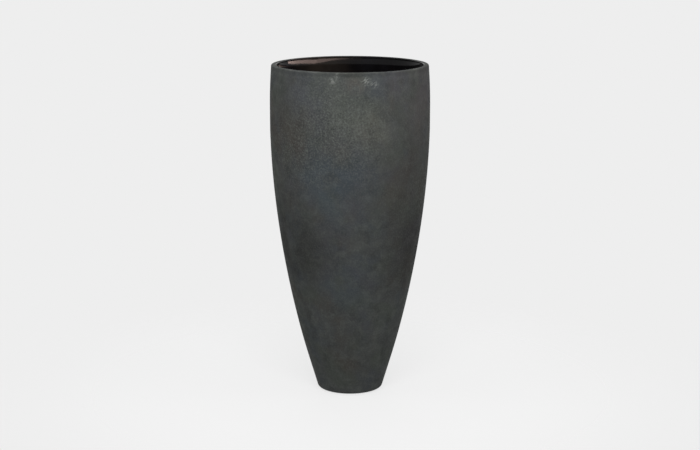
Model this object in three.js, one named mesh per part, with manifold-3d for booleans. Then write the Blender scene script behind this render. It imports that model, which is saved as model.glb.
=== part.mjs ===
// Tall round fibreglass planter with a narrow foot, a full belly and a mouth that draws in a little.
// Millimetres, +Z up. The origin is on the floor, under the middle of the foot.
//
// The pot is a laminated outer shell with a broad rounded lip. A black collar is bonded in under the lip:
// it lines the mouth and carries a ledge. A lift-out liner hangs in the collar from its flange, and a rubber
// plug closes the drain hole in the liner's floor. The shell's foot is closed by a bonded base plate that
// holds a drain connector and a cast ballast ring, and the foot stands on four rubber pads.

import * as THREE from "three";
import { mergeVertices } from "three/addons/utils/BufferGeometryUtils.js";
import Module from "manifold-3d";

// ---------------------------------------------------------------- driving dimensions

// Outline of the shell
const HEIGHT = 900; // floor to the top of the lip
const RIM_RADIUS = 211.6; // outside of the lip
const FOOT_RADIUS = 88; // outside of the foot, where the wall would meet the ground
const FOOT_FLARE = 0.3; // radius gained per millimetre of height in the straight foot
const FOOT_CONE = 90; // height of the straight foot, above which the belly curve begins
const FOOT_EDGE = 10; // rounding where the wall turns under the foot
const BELLY_START_PULL = 80; // length of the belly curve's handle at the foot cone
const BELLY_END_PULL = 370; // length of its handle at the rim
const RIM_LEAN = 0.075; // radius lost per millimetre of height where the curve meets the rim

// Laminate
const WALL = 5; // thickness of the shell's wall and of the return under the foot
const FOOT_OPENING = 52; // radius of the hole that the return leaves under the foot
const LIP_WIDTH = 14;
const LIP_THICKNESS = 4.5;
const LIP_OUTER_EDGE = 3; // rounding of the lip's outer edge
const LIP_INNER_EDGE = 2;

// Collar and the core behind it
const COLLAR_WALL = 3.5;
const COLLAR_FLANGE = 4; // thickness of the flange bonded under the lip
const COLLAR_SETBACK = 0.5; // how far the top of the collar's face stands behind the lip's inner edge
const COLLAR_DRAFT = Math.tan(THREE.MathUtils.degToRad(2)); // the face narrows downwards
const LEDGE_DEPTH = 60; // top of the lip to the top of the ledge
const LEDGE_WIDTH = 13;
const LEDGE_THICKNESS = 4;
const LEDGE_TURNDOWN = 12; // height of the stiffening edge below the ledge
const CORE_HEIGHT = 40; // height of the core strip between collar and shell

// Liner
const LINER_DEPTH = 360; // top of the flange to the underside of the floor
const LINER_WALL = 3;
const LINER_DRAFT = Math.tan(THREE.MathUtils.degToRad(5));
const LINER_CORNER = 14; // outside rounding between wall and floor
const SUMP_RADIUS = 26;
const SUMP_DEPTH = 6;
const DRAIN_HOLE = 12; // radius of the liner's drain hole
const HAND_SLOT_LENGTH = 90;
const HAND_SLOT_HEIGHT = 22;
const HAND_SLOT_DROP = 36; // top of the flange to the middle of a hand slot

// Plug in the liner's floor
const PLUG_HEAD_RADIUS = 18;
const PLUG_HEAD = 4; // thickness
const PLUG_SHANK = 12; // length below the head
const PLUG_TAPER = 1.2; // how much thinner the shank is at its tip
const TAB_WIDTH = 22;
const TAB_HEIGHT = 16;
const TAB_THICKNESS = 6;
const TAB_HOLE = 4.5; // radius

// Base plate, ballast and drain connector
const BASE_PLATE = 6; // thickness
const BALLAST_HEIGHT = 90;
const BALLAST_BORE = 32; // radius
const CONNECTOR_BORE = 10; // radius
const CONNECTOR_WALL = 3;
const CONNECTOR_ABOVE_PLATE = 20; // how far the tube stands above the base plate
const CONNECTOR_FLANGE_RADIUS = 24;
const CONNECTOR_FLANGE = 3; // thickness
const WASHER = 1.5; // thickness
const WASHER_RADIUS = 22;
const BACKNUT = 8; // thickness
const BACKNUT_FLATS = 40; // across the flats

// Pads under the foot
const PAD_COUNT = 4;
const PAD_RADIUS = 10;
const PAD_THICKNESS = 2;

// Clearances
const SEAT_GAP = 0.3; // between faces that rest on or are bonded to each other
const BOND_GAP = 1; // beside a piece that is bonded into the shell
const LIFT_GAP = 1.5; // beside the liner, so that it lifts out freely
const PLUG_GAP = 0.5; // round the plug's shank at its thickest
const TUBE_GAP = 0.5; // round the connector's tube

// Smoothness
const SEGMENTS = 48; // round every large turned piece, all starting on +X so that gaps stay even
const SMALL_SEGMENTS = 24; // round the fittings and pads
const BELLY_STEPS = 12;
const EDGE_STEPS = 3; // along each rounded edge

// ---------------------------------------------------------------- materials

const finish = (color, roughness, metalness = 0) =>
  new THREE.MeshStandardMaterial({ color, roughness, metalness });
const washedLaminate = finish(0x4a4c4b, 0.6);
const blackGelcoat = finish(0x17171a, 0.2);
const foamCore = finish(0xc9b98a, 0.9);
const rawLaminate = finish(0x5c5a50, 0.7);
const castConcrete = finish(0x8f8d87, 0.9);
const blackPlastic = finish(0x1d1d1f, 0.45);
const greyPvc = finish(0x5a5f63, 0.5);
const blackRubber = finish(0x151515, 0.8);

// ---------------------------------------------------------------- outline of the shell, as (radius, height)

const point = (radius, height) => new THREE.Vector2(radius, height);

// Points along a circular arc, both ends included. Angles are in radians from the radial direction.
const arc = (centre, radius, from, to, steps = EDGE_STEPS) =>
  new THREE.EllipseCurve(centre.x, centre.y, radius, radius, from, to, to < from).getPoints(steps);

const footZ = PAD_THICKNESS + SEAT_GAP;
const coneTop = point(FOOT_RADIUS + FOOT_FLARE * FOOT_CONE, footZ + FOOT_CONE);
const belly = new THREE.CubicBezierCurve(
  coneTop,
  point(coneTop.x + FOOT_FLARE * BELLY_START_PULL, coneTop.y + BELLY_START_PULL),
  point(RIM_RADIUS + RIM_LEAN * BELLY_END_PULL, HEIGHT - BELLY_END_PULL),
  point(RIM_RADIUS, HEIGHT),
);

// The rounding under the foot touches both the ground plane of the shell and the leaning wall.
const leanLength = Math.hypot(1, FOOT_FLARE);
const footEdgeCentre = point(
  FOOT_RADIUS + FOOT_FLARE * FOOT_EDGE - leanLength * FOOT_EDGE,
  footZ + FOOT_EDGE,
);
const footEdge = arc(footEdgeCentre, FOOT_EDGE, -Math.PI / 2, -Math.atan(FOOT_FLARE));

const bellyParameters = Array.from({ length: BELLY_STEPS + 1 }, (_, i) => i / BELLY_STEPS);
const bellyOutside = bellyParameters.map((t) => belly.getPoint(t));

// The wall's inside: the same line moved in by the laminate's thickness, square to the outside.
const movedIn = (at, direction) => point(at.x - direction.y * WALL, at.y + direction.x * WALL);
const wallDirection = point(FOOT_FLARE, 1).normalize();
const wallInside = [
  movedIn(point(FOOT_RADIUS, footZ), wallDirection),
  ...bellyParameters.map((t) => movedIn(belly.getPoint(t), belly.getTangent(t))),
];

// Inside radius of the shell at a height, read off the same points that the shell is made of.
function insideRadius(z) {
  const above = Math.max(1, wallInside.findIndex((p) => p.y >= z));
  const [low, high] = [wallInside[above - 1], wallInside[above]];
  return low.x + ((high.x - low.x) * (z - low.y)) / (high.y - low.y);
}

// A line that follows the shell's inside from one height to another, held off it by a gap.
const alongWall = (from, to, gap, steps) =>
  Array.from({ length: steps + 1 }, (_, i) => {
    const z = from + ((to - from) * i) / steps;
    return point(insideRadius(z) - gap, z);
  });

// ---------------------------------------------------------------- heights and radii that pieces share

const lipInside = RIM_RADIUS - LIP_WIDTH;
const lipUnder = HEIGHT - LIP_THICKNESS;
const collarTop = lipUnder - SEAT_GAP;
const collarInside = (z) => lipInside + COLLAR_SETBACK - COLLAR_DRAFT * (collarTop - z); // at a height
const collarOutside = (z) => collarInside(z) + COLLAR_WALL;
const ledgeTop = HEIGHT - LEDGE_DEPTH;
const ledgeInside = collarInside(ledgeTop) - LEDGE_WIDTH;

const flangeUnder = ledgeTop + SEAT_GAP;
const flangeTop = flangeUnder + LINER_WALL;
const flangeRadius = collarInside(ledgeTop) - LIFT_GAP;
const linerTopRadius = ledgeInside - LIFT_GAP; // outside, under the flange
const linerUnder = flangeTop - LINER_DEPTH;
const linerRadius = (z) => linerTopRadius - LINER_DRAFT * (flangeUnder - z); // outside, at a height
const sumpUnder = linerUnder - SUMP_DEPTH;
const sumpFloor = sumpUnder + LINER_WALL;

const plateUnder = footZ + WALL + SEAT_GAP;
const plateTop = plateUnder + BASE_PLATE;
const tubeRadius = CONNECTOR_BORE + CONNECTOR_WALL;
const washerUnder = plateUnder - SEAT_GAP - WASHER;
const connectorFlangeTop = washerUnder - SEAT_GAP;
const connectorUnder = connectorFlangeTop - CONNECTOR_FLANGE;

// ---------------------------------------------------------------- helpers

// A turned piece: its section is a closed loop, drawn anticlockwise with the axis on its left.
function turned(section, segments = SEGMENTS) {
  const onAxis = section[0].x === 0 && section.at(-1).x === 0;
  const loop = onAxis ? section : [...section, section[0].clone()];
  return new THREE.LatheGeometry(loop, segments).rotateX(Math.PI / 2);
}

function namedMesh(name, geometry, material) {
  const mesh = new THREE.Mesh(geometry, material);
  mesh.name = name;
  return mesh;
}

const wasm = await Module();
wasm.setup();

function toSolid(geometry) {
  const bare = geometry.clone();
  bare.deleteAttribute("normal");
  bare.deleteAttribute("uv");
  const merged = mergeVertices(bare, 1e-3);
  return new wasm.Manifold(
    new wasm.Mesh({
      numProp: 3,
      vertProperties: merged.attributes.position.array,
      triVerts: new Uint32Array(merged.index.array),
    }),
  );
}

function toGeometry(solid) {
  const mesh = solid.getMesh();
  const geometry = new THREE.BufferGeometry();
  geometry.setAttribute("position", new THREE.BufferAttribute(mesh.vertProperties, 3));
  geometry.setIndex(new THREE.BufferAttribute(mesh.triVerts, 1));
  geometry.computeVertexNormals();
  return geometry;
}

// ---------------------------------------------------------------- the pot

// Outer shell: foot return, foot edge, cone and belly outside, lip, and back down the inside.
function outerShell() {
  const lipOuterEdge = point(RIM_RADIUS - LIP_OUTER_EDGE, HEIGHT - LIP_OUTER_EDGE);
  const lipInnerEdge = point(lipInside + LIP_INNER_EDGE, HEIGHT - LIP_INNER_EDGE);
  const returnTop = footZ + WALL;
  const section = [
    point(FOOT_OPENING, footZ),
    ...footEdge,
    ...bellyOutside.filter((p) => p.y < lipOuterEdge.y),
    ...arc(lipOuterEdge, LIP_OUTER_EDGE, 0, Math.PI / 2),
    ...arc(lipInnerEdge, LIP_INNER_EDGE, Math.PI / 2, Math.PI),
    point(lipInside, lipUnder),
    point(insideRadius(lipUnder), lipUnder),
    ...wallInside.filter((p) => p.y > returnTop && p.y < lipUnder).reverse(),
    point(insideRadius(returnTop), returnTop),
    point(FOOT_OPENING, returnTop),
  ];
  return namedMesh("outer_shell", turned(section), washedLaminate);
}

// Inner collar: bonded flange under the lip, glossy skirt, ledge for the liner and its turned-down edge.
function innerCollar() {
  const flangeLow = collarTop - COLLAR_FLANGE;
  const flangeEdge = insideRadius(collarTop) - BOND_GAP;
  const ledgeUnder = ledgeTop - LEDGE_THICKNESS;
  const turndownLow = ledgeUnder - LEDGE_TURNDOWN;
  const section = [
    point(ledgeInside, turndownLow),
    point(ledgeInside + COLLAR_WALL, turndownLow),
    point(ledgeInside + COLLAR_WALL, ledgeUnder),
    point(collarOutside(ledgeUnder), ledgeUnder),
    point(collarOutside(flangeLow), flangeLow),
    point(flangeEdge, flangeLow),
    point(flangeEdge, collarTop),
    point(collarInside(collarTop), collarTop),
    point(collarInside(ledgeTop), ledgeTop),
    point(ledgeInside + LEDGE_THICKNESS / 2, ledgeTop),
    point(ledgeInside, ledgeTop - LEDGE_THICKNESS / 2),
  ];
  return namedMesh("inner_collar", turned(section), blackGelcoat);
}

// Rim core: a foam strip bent to a ring, which fills the space behind the collar and stiffens the lip.
function rimCoreRing() {
  const top = collarTop - COLLAR_FLANGE - SEAT_GAP;
  const bottom = top - CORE_HEIGHT;
  const section = [
    point(collarOutside(bottom) + SEAT_GAP, bottom),
    ...alongWall(bottom, top, SEAT_GAP, 2),
    point(collarOutside(top) + SEAT_GAP, top),
  ];
  return namedMesh("rim_core_ring", turned(section), foamCore);
}

function basePlate() {
  const edge = insideRadius(plateUnder) - BOND_GAP;
  const section = [
    point(tubeRadius + TUBE_GAP, plateUnder),
    point(edge, plateUnder),
    point(edge, plateTop),
    point(tubeRadius + TUBE_GAP, plateTop),
  ];
  return namedMesh("base_plate", turned(section), rawLaminate);
}

function footBallast() {
  const bottom = plateTop + SEAT_GAP;
  const top = bottom + BALLAST_HEIGHT;
  const section = [
    point(BALLAST_BORE, bottom),
    ...alongWall(bottom, top, BOND_GAP, 3),
    point(BALLAST_BORE, top),
  ];
  return namedMesh("foot_ballast", turned(section), castConcrete);
}

// ---------------------------------------------------------------- drain fittings in the base plate

function drainConnector() {
  const tubeTop = plateTop + CONNECTOR_ABOVE_PLATE;
  const section = [
    point(CONNECTOR_BORE, connectorUnder),
    point(CONNECTOR_FLANGE_RADIUS, connectorUnder),
    point(CONNECTOR_FLANGE_RADIUS, connectorFlangeTop),
    point(tubeRadius, connectorFlangeTop),
    point(tubeRadius, tubeTop),
    point(CONNECTOR_BORE, tubeTop),
  ];
  return namedMesh("drain_connector", turned(section, SMALL_SEGMENTS), greyPvc);
}

function drainWasher() {
  const section = [
    point(tubeRadius + TUBE_GAP, washerUnder),
    point(WASHER_RADIUS, washerUnder),
    point(WASHER_RADIUS, washerUnder + WASHER),
    point(tubeRadius + TUBE_GAP, washerUnder + WASHER),
  ];
  return namedMesh("drain_washer", turned(section, SMALL_SEGMENTS), blackRubber);
}

function drainBacknut() {
  const cornerRadius = BACKNUT_FLATS / Math.sqrt(3);
  const corners = Array.from({ length: 6 }, (_, i) => {
    const angle = (i * Math.PI) / 3;
    return point(cornerRadius * Math.cos(angle), cornerRadius * Math.sin(angle));
  });
  const outline = new THREE.Shape(corners);
  outline.holes.push(new THREE.Path().absarc(0, 0, tubeRadius + TUBE_GAP, 0, 2 * Math.PI, true));
  const nut = new THREE.ExtrudeGeometry(outline, {
    depth: BACKNUT,
    bevelEnabled: false,
    curveSegments: SMALL_SEGMENTS,
  });
  const mesh = namedMesh("drain_backnut", nut, greyPvc);
  mesh.position.z = plateTop + SEAT_GAP;
  return mesh;
}

// ---------------------------------------------------------------- pads

// Pads sit in the middle of the flat ring under the foot, clear of its rounded edge.
function footPads() {
  const ringMiddle = (FOOT_OPENING + footEdgeCentre.x) / 2;
  const quarter = (2 * Math.PI) / PAD_COUNT;
  return Array.from({ length: PAD_COUNT }, (_, i) => {
    const angle = (i + 1 / 2) * quarter;
    const disc = new THREE.CylinderGeometry(PAD_RADIUS, PAD_RADIUS, PAD_THICKNESS, SMALL_SEGMENTS);
    disc.rotateX(Math.PI / 2);
    const pad = namedMesh("foot_pad_" + (i + 1), disc, blackRubber);
    const [x, y] = [ringMiddle * Math.cos(angle), ringMiddle * Math.sin(angle)];
    pad.position.set(x, y, PAD_THICKNESS / 2);
    return pad;
  });
}

// ---------------------------------------------------------------- liner and plug

// A bar with round ends along X, long enough to cut through one side of the liner's wall.
function handSlotCutter(side) {
  const round = HAND_SLOT_HEIGHT / 2;
  const reach = HAND_SLOT_LENGTH / 2 - round;
  const outline = new THREE.Shape();
  outline.absarc(reach, 0, round, -Math.PI / 2, Math.PI / 2, false);
  outline.absarc(-reach, 0, round, Math.PI / 2, (3 * Math.PI) / 2, false);
  outline.closePath();
  const bar = new THREE.ExtrudeGeometry(outline, {
    depth: linerTopRadius,
    bevelEnabled: false,
    curveSegments: SMALL_SEGMENTS / 2,
  });
  bar.rotateX(Math.PI / 2).rotateZ((side * Math.PI) / 2);
  bar.translate(side * (linerTopRadius / 2), 0, flangeTop - HAND_SLOT_DROP);
  return toSolid(bar);
}

function liner() {
  const corner = point(linerRadius(linerUnder + LINER_CORNER) - LINER_CORNER, linerUnder + LINER_CORNER);
  const floorTop = linerUnder + LINER_WALL;
  const section = [
    point(DRAIN_HOLE, sumpUnder),
    point(SUMP_RADIUS, sumpUnder),
    point(SUMP_RADIUS + LINER_WALL, linerUnder),
    ...arc(corner, LINER_CORNER, -Math.PI / 2, 0),
    point(linerTopRadius, flangeUnder),
    point(flangeRadius, flangeUnder),
    point(flangeRadius, flangeTop - LINER_WALL / 3),
    point(flangeRadius - LINER_WALL / 3, flangeTop),
    point(linerTopRadius - LINER_WALL / 3, flangeTop),
    point(linerTopRadius - LINER_WALL, flangeTop - LINER_WALL / 3),
    ...arc(corner, LINER_CORNER - LINER_WALL, 0, -Math.PI / 2),
    point(SUMP_RADIUS, floorTop),
    point(SUMP_RADIUS - LINER_WALL, sumpFloor),
    point(DRAIN_HOLE, sumpFloor),
  ];
  const body = toSolid(turned(section));
  const cut = body.subtract(handSlotCutter(1)).subtract(handSlotCutter(-1));
  return namedMesh("liner", toGeometry(cut), blackPlastic);
}

// Rubber plug: a head in the sump, a tapered shank through the hole and a pierced tab to pull it by.
function linerPlug() {
  const headUnder = sumpFloor + SEAT_GAP;
  const headTop = headUnder + PLUG_HEAD;
  const shankRadius = DRAIN_HOLE - PLUG_GAP;
  const body = turned(
    [
      point(0, headUnder - PLUG_SHANK),
      point(shankRadius - PLUG_TAPER, headUnder - PLUG_SHANK),
      point(shankRadius, headUnder),
      point(PLUG_HEAD_RADIUS, headUnder),
      point(PLUG_HEAD_RADIUS, headTop - PLUG_HEAD / 4),
      point(PLUG_HEAD_RADIUS - PLUG_HEAD / 4, headTop),
      point(0, headTop),
    ],
    SMALL_SEGMENTS,
  );
  const half = TAB_WIDTH / 2;
  const rootInHead = PLUG_HEAD / 2;
  const outline = new THREE.Shape();
  outline.moveTo(-half, -rootInHead);
  outline.lineTo(half, -rootInHead);
  outline.lineTo(half, TAB_HEIGHT - half);
  outline.absarc(0, TAB_HEIGHT - half, half, 0, Math.PI, false);
  outline.holes.push(new THREE.Path().absarc(0, TAB_HEIGHT - half, TAB_HOLE, 0, 2 * Math.PI, true));
  const tab = new THREE.ExtrudeGeometry(outline, {
    depth: TAB_THICKNESS,
    bevelEnabled: false,
    curveSegments: SMALL_SEGMENTS / 2,
  });
  tab.translate(0, 0, -TAB_THICKNESS / 2).rotateX(Math.PI / 2).translate(0, 0, headTop);
  return namedMesh("liner_plug", toGeometry(toSolid(body).add(toSolid(tab))), blackRubber);
}

// ---------------------------------------------------------------- assembly

const planter = new THREE.Group();
planter.add(
  outerShell(),
  innerCollar(),
  rimCoreRing(),
  basePlate(),
  footBallast(),
  drainConnector(),
  drainWasher(),
  drainBacknut(),
  ...footPads(),
  liner(),
  linerPlug(),
);

export default planter;
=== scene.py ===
"""Tall fibreglass floor planter: washed shell, black collar, lift-out liner, ballast and drain.

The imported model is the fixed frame. Every one of its nodes is replaced by a finer piece of the same
size in the same place, dressed in a procedural finish. The classes hold millimetres, as the
construction does; meshes and materials are in metres, on the same axes.
"""

import logging
import math
from collections.abc import Callable, Iterator
from contextlib import contextmanager
from dataclasses import dataclass, replace
from enum import Enum, IntEnum
from functools import reduce
from itertools import pairwise
from typing import Any

import bpy
from mathutils import Matrix, Vector


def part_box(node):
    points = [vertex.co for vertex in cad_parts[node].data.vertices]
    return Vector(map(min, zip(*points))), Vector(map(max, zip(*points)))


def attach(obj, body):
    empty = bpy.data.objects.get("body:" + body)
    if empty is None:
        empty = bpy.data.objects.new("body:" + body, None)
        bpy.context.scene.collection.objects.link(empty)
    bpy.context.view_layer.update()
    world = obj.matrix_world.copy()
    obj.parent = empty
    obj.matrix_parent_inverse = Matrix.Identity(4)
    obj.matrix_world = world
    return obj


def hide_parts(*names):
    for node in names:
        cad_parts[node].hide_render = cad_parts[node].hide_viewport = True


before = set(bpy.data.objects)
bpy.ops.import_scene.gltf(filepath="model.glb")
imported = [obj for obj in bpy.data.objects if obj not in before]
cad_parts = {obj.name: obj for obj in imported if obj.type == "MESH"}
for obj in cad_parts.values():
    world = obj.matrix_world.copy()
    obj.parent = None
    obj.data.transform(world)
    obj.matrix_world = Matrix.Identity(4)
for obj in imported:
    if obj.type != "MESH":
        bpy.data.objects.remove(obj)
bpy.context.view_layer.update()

log = logging.getLogger("planter")

MM = 0.001  # metres in a millimetre
WELD = 0.005 * MM  # points nearer than this are one point
HOLD = 1.25  # a point this much farther out than a fillet's end keeps the flat beside it flat
FILLET_STEPS = 4  # chords in a fillet
FLAT = 0.5  # a face whose normal has a larger share than this along Z counts as flat
TURNED = 0.2  # and one with a larger share than this towards the axis as looking inwards
SHIFT = (1, 1.7, 2.3)  # how far a seed moves a pattern along X, Y and Z, in grains
OCTAVE = 0.55  # how strong each finer octave of noise is

Point = tuple[float, float]  # radius from the axis and height, in millimetres
Point3 = tuple[float, float, float]
Colour = tuple[float, float, float, float]
Curve = Callable[[float], float]  # gives a radius at a height, both in millimetres
Piece = bpy.types.Object
Tree = bpy.types.NodeTree
Socket = bpy.types.NodeSocket

# Sockets of the colour Mix node, which share their names
FACTOR, FIRST, SECOND, MIXED = 0, 6, 7, 2


class Body(Enum):
    """The bodies of the frame that pieces ride on."""

    POT = "pot"
    LINER = "liner"
    PLUG = "plug"


class Slot(Enum):
    """The record's material slots."""

    SHELL = "shell"
    COLLAR = "collar"
    CORE = "core"
    LAMINATE = "laminate"
    CONCRETE = "concrete"
    PVC = "pvc"
    RUBBER = "rubber"
    LINER = "liner"


class Facets(IntEnum):
    """How many faces go round a piece, by its size."""

    RIM = 256
    BARREL = 192
    PLATE = 160
    NUT = 120
    FITTING = 96
    PAD = 72
    CUTTER = 64
    TAB_HOLE = 48


class Glow(Enum):
    """What a lamp lights."""

    FULL = "everything"
    SHEEN = "only its reflection in glossy faces shows"
    MATT = "everything, but it isn't mirrored in glossy faces"


# -------- sections, as (radius, height)


@dataclass(frozen=True)
class Corner:
    """A corner of a section.

    Attributes:
        radius: Distance from the axis, in millimetres.
        height: Height above the floor, in millimetres.
        rounding: Radius of the fillet that takes the corner off, in millimetres.
    """

    radius: float
    height: float
    rounding: float = 0


def arc(centre: Point, radius: float, start: float, end: float, steps: int) -> list[Point]:
    """Gives points along an arc between two angles, in degrees from the outward direction."""
    angles = [math.radians(start + (end - start) * i / steps) for i in range(steps + 1)]
    return [(centre[0] + radius * math.cos(a), centre[1] + radius * math.sin(a)) for a in angles]


def fillet(before: Corner, corner: Corner, after: Corner) -> list[Point]:
    """Rounds one corner of a section, with a holding point on the flat at either end.

    Args:
        before: The corner before it.
        corner: The corner to round.
        after: The corner after it.

    Returns:
        The points that take the corner's place.
    """
    here = Vector((corner.radius, corner.height))
    if corner.rounding == 0:
        return [tuple(here)]
    back = (Vector((before.radius, before.height)) - here).normalized()
    ahead = (Vector((after.radius, after.height)) - here).normalized()
    half = back.angle(ahead) / 2
    centre = here + (back + ahead).normalized() * (corner.rounding / math.sin(half))
    reach = corner.rounding / math.tan(half)
    first = here + back * reach - centre
    turn = first.angle_signed(here + ahead * reach - centre)
    start = math.atan2(first.y, first.x)
    angles = [start - turn * i / FILLET_STEPS for i in range(FILLET_STEPS + 1)]
    curve = [tuple(centre + corner.rounding * Vector((math.cos(a), math.sin(a)))) for a in angles]
    return [tuple(here + back * reach * HOLD), *curve, tuple(here + ahead * reach * HOLD)]


def section(*corners: Corner) -> list[Point]:
    """Joins corners, in order, into a closed section, with each rounding drawn as an arc."""
    around = [corners[-1], *corners, corners[0]]
    return [point for i in range(len(corners)) for point in fillet(*around[i : i + 3])]


def follow(radius: Curve, low: float, high: float, offset: float, steps: int) -> list[Corner]:
    """Gives corners at a distance outside a curve, from one height to another."""
    heights = [low + (high - low) * i / steps for i in range(steps + 1)]
    return [Corner(radius(z) + offset, z) for z in heights]


def placed(radius: float, height: float, profile: tuple[Corner, ...]) -> list[Corner]:
    """Puts a small profile, such as a rib or a groove, at its place in a section."""
    return [replace(c, radius=radius + c.radius, height=height + c.height) for c in profile]


def both_faces(middle: float, *corners: Corner) -> list[Corner]:
    """Adds to the corners of one face those of the other, its mirror image in a middle height."""
    return [*corners, *[replace(c, height=2 * middle - c.height) for c in reversed(corners)]]


# -------- modelling by operators


def deselect_all() -> None:
    """Leaves nothing selected, so that an operator touches only what is made next."""
    if bpy.context.object and bpy.context.object.mode != "OBJECT":
        bpy.ops.object.mode_set(mode="OBJECT")
    bpy.ops.object.select_all(action="DESELECT")


def make_active(piece: Piece) -> None:
    """Selects one piece and nothing else.

    Args:
        piece: The piece.
    """
    deselect_all()
    piece.select_set(True)
    bpy.context.view_layer.objects.active = piece


def named(piece: Piece, name: str) -> Piece:
    """Gives a piece and its mesh one name."""
    piece.name = piece.data.name = name
    return piece


@contextmanager
def editing(piece: Piece, select: str = "VERT") -> Iterator[None]:
    """Opens a piece in edit mode with nothing selected, and closes it again.

    Args:
        piece: The piece.
        select: What is selected in it: VERT or EDGE.

    Yields:
        Nothing. The piece is open until the block ends.
    """
    make_active(piece)
    bpy.ops.object.mode_set(mode="EDIT")
    bpy.ops.mesh.select_mode(type=select)
    bpy.ops.mesh.select_all(action="DESELECT")
    yield
    bpy.ops.object.mode_set(mode="OBJECT")


def weld() -> None:
    """Merges the doubles of what is open in edit mode, turns its faces outwards and selects it all."""
    bpy.ops.mesh.select_all(action="SELECT")
    bpy.ops.mesh.remove_doubles(threshold=WELD)
    bpy.ops.mesh.normals_make_consistent(inside=False)


def turned(name: str, outline: list[Point], segments: int) -> Piece:
    """Turns a section about the Z axis, as on a lathe.

    Args:
        name: Name of the piece.
        outline: The section. One that starts and ends on the axis stays open there.
        segments: Number of faces round the piece.

    Returns:
        The closed piece, with its faces outwards.
    """
    deselect_all()
    on_axis = outline[0][0] == 0 and outline[-1][0] == 0
    path = outline if on_axis else [*outline, outline[0]]
    start = (path[0][0] * MM, 0, path[0][1] * MM)
    bpy.ops.mesh.primitive_plane_add(size=MM, location=start)
    piece = named(bpy.context.object, name)
    bpy.ops.object.transform_apply()
    with editing(piece):
        bpy.ops.mesh.select_all(action="SELECT")
        bpy.ops.mesh.merge(type="CENTER")
        for (r0, z0), (r1, z1) in pairwise(path):
            step = ((r1 - r0) * MM, 0, (z1 - z0) * MM)
            bpy.ops.mesh.extrude_region_move(TRANSFORM_OT_translate={"value": step})
        weld()
        bpy.ops.mesh.spin(steps=segments, angle=math.tau, center=(0, 0, 0), axis=(0, 0, 1))
        weld()
    return piece


def cylinder(
    name: str, sides: int, radius: float, length: float, centre: Point3, turn: Point3
) -> Piece:
    """Makes a cylinder or prism in its place, to be shaped or to cut with.

    Args:
        name: Its name.
        sides: Number of faces round it.
        radius: Its radius out to the corners. Like all lengths here, in millimetres.
        length: Its length.
        centre: Its centre.
        turn: The turns in radians about X, Y and Z that lay an upright one in its direction.

    Returns:
        The cylinder, with its place in its mesh.
    """
    deselect_all()
    place = [value * MM for value in centre]
    bpy.ops.mesh.primitive_cylinder_add(
        vertices=sides, radius=radius * MM, depth=length * MM, location=place, rotation=turn
    )
    made = named(bpy.context.object, name)
    bpy.ops.object.transform_apply()
    return made


def copy_of(model: Piece, name: str) -> Piece:
    """Copies a piece.

    Args:
        model: The piece.
        name: The copy's name.

    Returns:
        The copy, with a mesh of its own.
    """
    copy = model.copy()
    copy.data = model.data.copy()
    bpy.context.collection.objects.link(copy)
    return named(copy, name)


def combine(piece: Piece, other: Piece, operation: str) -> None:
    """Cuts, adds or keeps what is common with another piece, which is used up.

    Args:
        piece: The piece that is changed.
        other: The piece that it is combined with.
        operation: DIFFERENCE, UNION or INTERSECT.
    """
    modifier = piece.modifiers.new(operation.lower(), "BOOLEAN")
    modifier.operation, modifier.object, modifier.solver = operation, other, "EXACT"
    make_active(piece)
    bpy.ops.object.modifier_apply(modifier=modifier.name)
    bpy.data.objects.remove(other)


def bevel_edges(piece: Piece, width: float, chosen: Callable[[Vector], bool]) -> None:
    """Rounds the sharp edges of a piece that lie where they are chosen.

    Args:
        piece: The piece.
        width: Width of the rounding in millimetres.
        chosen: Says of a vertex, in metres, whether it belongs to such an edge.
    """
    with editing(piece, "EDGE"):
        bpy.ops.mesh.edges_select_sharp(sharpness=math.radians(40))
    points = piece.data.vertices
    for edge in piece.data.edges:
        edge.select = edge.select and all(chosen(points[v].co) for v in edge.vertices)
    ends = {v for edge in piece.data.edges if edge.select for v in edge.vertices}
    for point in points:
        point.select = point.index in ends
    for face in piece.data.polygons:
        face.select = False
    bpy.ops.object.mode_set(mode="EDIT")
    bpy.ops.mesh.bevel(offset=width * MM, segments=2)
    bpy.ops.object.mode_set(mode="OBJECT")


def roughen(piece: Piece, depth: float, grain: float, where: Callable[[Vector], bool]) -> None:
    """Gives part of a piece's surface the unevenness of a hand-made face.

    Args:
        piece: The piece.
        depth: Height of the unevenness in millimetres.
        grain: Its width in millimetres.
        where: Says of a vertex, in metres, whether it is on that part.
    """
    group = piece.vertex_groups.new(name="uneven")
    group.add([v.index for v in piece.data.vertices if where(v.co)], 1, "REPLACE")
    texture = bpy.data.textures.new(piece.name + "_unevenness", "CLOUDS")
    texture.noise_scale, texture.noise_depth = grain * MM, 2
    modifier = piece.modifiers.new("uneven", "DISPLACE")
    modifier.texture, modifier.texture_coords = texture, "LOCAL"
    modifier.vertex_group, modifier.strength, modifier.mid_level = group.name, depth * MM, 0.5
    make_active(piece)
    bpy.ops.object.modifier_apply(modifier=modifier.name)
    piece.vertex_groups.clear()


def levels(node: str) -> tuple[float, float, float]:
    """Reads from the frame a node's lowest and highest levels and its reach along +X, in millimetres."""
    low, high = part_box(node)
    return low[2] / MM, high[2] / MM, high[0] / MM


# -------- finishes


def linear(colour: str) -> Colour:
    """Turns an sRGB colour such as #4a4c4b into the linear colour that a shader takes."""
    values = [int(colour[i : i + 2], 16) / 255 for i in (1, 3, 5)]
    return (*[v / 12.92 if v <= 0.04045 else ((v + 0.055) / 1.055) ** 2.4 for v in values], 1)


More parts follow.
